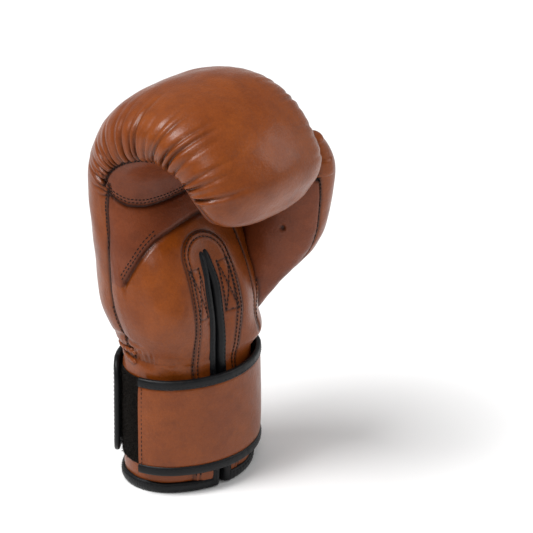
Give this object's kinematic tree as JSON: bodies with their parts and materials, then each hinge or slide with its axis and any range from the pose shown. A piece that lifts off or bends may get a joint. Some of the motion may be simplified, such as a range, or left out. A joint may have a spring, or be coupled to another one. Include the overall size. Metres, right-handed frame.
{
  "type": "boxing glove",
  "caption": "Right-hand padded leather boxing glove, curled fist with attached thumb, slit palm with bound edges, and a wide wrap-around hook-and-loop wrist strap.",
  "frame": {"origin": "centre of the hand opening, on the plane of the cuff's rim", "axes": "+Z from the cuff to the knuckles, -Y out of the palm, +Y out of the back of the hand, +X to the thumb"},
  "size_m": [0.1431, 0.1441, 0.283],
  "materials": {
    "tan_leather": "satin",
    "brown_leather": "satin",
    "black_binding": "satin",
    "strap_backing": "matte",
    "foam": "matte",
    "lining": "matte",
    "loop": "matte",
    "hook": "matte"
  },
  "bodies": {
    "glove": {"main_shell": "tan_leather", "upper_palm_panel": "brown_leather", "finger_inner_panel": "brown_leather", "thumb_side_gusset": "tan_leather", "wrist_foam": "foam", "back_foam": "foam", "knuckle_foam": "foam", "finger_foam": "foam", "hand_lining": "lining", "grip_bar": "foam", "back_cuff_leather": "tan_leather", "back_cuff_foam": "foam", "back_cuff_lining": "lining", "back_hem_binding": "black_binding", "slit_top_patch": "tan_leather", "neck_piping": "tan_leather", "loop_patch": "loop"},
    "ulnar_flap": {"ulnar_heel_leather": "tan_leather", "ulnar_heel_foam": "foam", "ulnar_heel_lining": "lining", "ulnar_cuff_leather": "tan_leather", "ulnar_cuff_foam": "foam", "ulnar_cuff_lining": "lining", "ulnar_hem_binding": "black_binding", "ulnar_slit_binding": "black_binding", "ulnar_slit_patch": "tan_leather"},
    "radial_flap": {"radial_heel_leather": "tan_leather", "radial_heel_foam": "foam", "radial_heel_lining": "lining", "radial_cuff_leather": "tan_leather", "radial_cuff_foam": "foam", "radial_cuff_lining": "lining", "radial_hem_binding": "black_binding", "radial_slit_binding": "black_binding", "radial_slit_patch": "tan_leather"},
    "strap_palm": {"strap_palm_leather": "tan_leather", "strap_palm_backing": "strap_backing", "strap_palm_binding": "black_binding"},
    "strap_side": {"strap_side_leather": "tan_leather", "strap_side_backing": "strap_backing", "strap_side_binding": "black_binding"},
    "strap_tip": {"strap_tip_leather": "tan_leather", "strap_tip_backing": "strap_backing", "strap_tip_binding": "black_binding", "hook_patch": "hook"},
    "thumb": {"thumb_shell": "tan_leather", "thumb_inner_panel": "brown_leather", "thumb_base_foam": "foam", "thumb_foam": "foam", "thumb_lining": "lining", "thumb_lock_tab": "tan_leather"}
  },
  "joints": [
    {"name": "ulnar_flap_open", "type": "hinge", "parent": "glove", "child": "ulnar_flap", "pos_m": [-0.0495, 0, 0], "axis": [0.046, 0, -0.9989], "range_deg": [0, 18]},
    {"name": "radial_flap_open", "type": "hinge", "parent": "glove", "child": "radial_flap", "pos_m": [0.028, -0.036, 0], "axis": [0, 0, 1], "range_deg": [0, 12]},
    {"name": "strap_wrap", "type": "hinge", "parent": "ulnar_flap", "child": "strap_palm", "pos_m": [-0.0541, -0.005, 0], "axis": [0, 0, -1], "range_deg": [0, 60]},
    {"name": "strap_fold", "type": "hinge", "parent": "strap_palm", "child": "strap_side", "pos_m": [0.0541, 0, 0], "axis": [0, 0, -1], "range_deg": [0, 90]},
    {"name": "strap_tip_peel", "type": "hinge", "parent": "strap_side", "child": "strap_tip", "pos_m": [0, 0.0431, 0], "axis": [0, 0, -1], "range_deg": [0, 80]},
    {"name": "thumb_flex", "type": "hinge", "parent": "glove", "child": "thumb", "pos_m": [0.088, -0.012, 0.1], "axis": [0, 1, 0], "range_deg": [0, 5], "stiffness_Nm_per_rad": 0.6}
  ],
  "couplings": [
    {"joint": "ulnar_flap_open", "follows": "strap_wrap", "ratio": 0.3},
    {"joint": "radial_flap_open", "follows": "strap_wrap", "ratio": 0.2},
    {"joint": "strap_fold", "follows": "strap_wrap", "ratio": 1.5}
  ]
}
